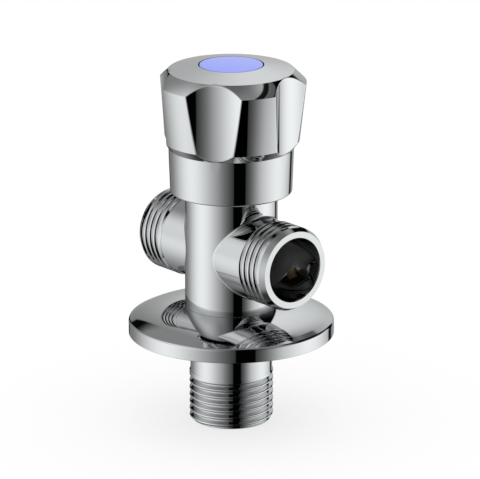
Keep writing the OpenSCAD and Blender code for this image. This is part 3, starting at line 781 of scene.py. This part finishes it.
# The large card on the right leans to the left above its bend, and its top is higher at the back
CARD_BEND, CARD_LEAN, CARD_RISE = 37.0, 0.4, 3.5
CARD_AZIMUTH = calc("MULTIPLY_ADD",
                    calc("MAXIMUM", calc("SUBTRACT", ELEVATION, CARD_BEND), 0.0),
                    CARD_LEAN, AZIMUTH)
CARD_ELEVATION = calc("MULTIPLY_ADD", fade(AZIMUTH, 125.0, 112.0), -CARD_RISE, ELEVATION)

# The tones are those seen in the plating, which gives back about two thirds of the light
PLATE_GAIN = 1.5
CEILING = 0.235
# What each light adds, and where
LIGHTS = (
    # Left, right, and the back with its middle
    (0.73, glow(-75.0, 71.0, -8.0, 57.0, 0.43)),
    (0.80, glow(98.0, 75.0, -9.0, 41.0)),
    (0.50, glow(171.0, 31.0, 30.0, 66.0)),
    (0.09, glow(179.0, 14.0, 22.0, 50.0)),
    # Left towards the back, upper left and upper right
    (0.30, glow(-104.0, 34.0, 22.0, 24.0)),
    (0.50, glow(-78.0, 54.0, 42.0, 26.0)),
    (0.16, glow(102.0, 50.0, 62.0, 14.0)),
)
# The share of the light that each shade takes, and where
SHADES = (
    # Overhead and underneath
    (0.50, fade(ELEVATION, 85.0, 58.0)),
    (0.85, fade(ELEVATION, -62.0, -42.0)),
    # Camera's side: above with soft and then with crisp edges, below, and to the right
    (0.90, product(fade(azimuth_off(16.0), 5.0, 45.0), fade(ELEVATION, 48.0, 60.0))),
    (0.97, product(fade(azimuth_off(16.0), 10.2, 12.2), fade(ELEVATION, 50.0, 60.0))),
    (0.97, product(fade(azimuth_off(9.0), 17.5, 19.5), fade(ELEVATION, -27.0, -23.5))),
    (0.40, product(fade(azimuth_off(45.0), 10.0, 45.0), fade(elevation_off(12.0), 4.0, 22.0))),
    # Back left: a bent strip and the card above it
    (0.97, flag((-167.0, -30.0), (-163.0, -10.0), 4.0, 3.5)),
    (0.98, flag((-163.0, -10.0), (-157.7, 8.0), 3.6, 2.0)),
    (0.99, product(between(-160.3, -150.8, 0.8, 2.2, AZIMUTH), fade(ELEVATION, 25.5, 39.5),
                   fade(ELEVATION, 6.0, 0.0))),
    # Back right: a bent strip
    (0.99, flag((150.5, -30.0), (142.5, -8.0), 5.5, 3.0)),
    (0.99, flag((142.5, -8.0), (141.0, 8.0), 7.0, 3.0)),
    (0.99, flag((141.0, 8.0), (145.0, 22.0), 7.5, 3.5)),
    # Right: the large card and the level strips over it
    (0.995, product(between(75.0, 150.3, 6.0, 1.2, CARD_AZIMUTH), fade(ELEVATION, 30.0, -2.0),
                    fade(CARD_ELEVATION, 47.5, 50.5))),
    (0.98, flag((47.0, 57.5), (124.0, 57.5), 2.8, 1.0)),
    (0.60, flag((80.0, 52.0), (150.0, 52.0), 3.5, 2.5)),
)
tone = CEILING
for amount, spread in LIGHTS:
    tone = calc("MULTIPLY_ADD", spread, amount, tone)
tone = product(tone, PLATE_GAIN)
for amount, spread in SHADES:
    tone = product(tone, calc("MULTIPLY_ADD", spread, -amount, 1.0))


def light(strength, colour=(1.0, 1.0, 1.0, 1.0)):
    return feed(sky.new("ShaderNodeBackground"), colour, strength)


def choose(ray, off, on):
    return feed(sky.new("ShaderNodeMixShader"), RAYS.outputs[ray], off, on)


# Dull surfaces and the camera's own view have plain white instead
RAYS = sky.new("ShaderNodeLightPath")
shown = choose("Is Glossy Ray", light(1.0), light(tone, (0.98, 1.0, 1.0, 1.0)))
shown = choose("Is Camera Ray", shown, light(1.0))
wires.new(shown, sky["World Output"].inputs["Surface"])

# Floor: paper that keeps only the soft shadow under the part, in metres

FLOOR_HALF, FLOOR_Z = 3, -0.0002
PAPER_GLOW, PAPER_GLOW_SHARE = 1.08, 0.65
floor_mesh = bpy.data.meshes.new("floor")
floor_mesh.from_pydata([(-FLOOR_HALF, -FLOOR_HALF, 0), (FLOOR_HALF, -FLOOR_HALF, 0),
                        (FLOOR_HALF, FLOOR_HALF, 0), (-FLOOR_HALF, FLOOR_HALF, 0)],
                       [], [(0, 1, 2, 3)])
floor = bpy.data.objects.new("floor", floor_mesh)
floor.location.z = FLOOR_Z
floor.visible_glossy = False
scene.collection.objects.link(floor)
paper = material("floor_paper", (0.9, 0.9, 0.9), 0.0, 0.9, 0.0)
nodes, links = paper.node_tree.nodes, paper.node_tree.links
lit = nodes.new("ShaderNodeEmission")
lit.inputs["Strength"].default_value = PAPER_GLOW
blend = nodes.new("ShaderNodeMixShader")
blend.inputs["Fac"].default_value = PAPER_GLOW_SHARE
for source, socket in ((nodes["Principled BSDF"], blend.inputs[1]), (lit, blend.inputs[2])):
    links.new(source.outputs[0], socket)
links.new(blend.outputs[0], nodes["Material Output"].inputs[0])
floor_mesh.materials.append(paper)
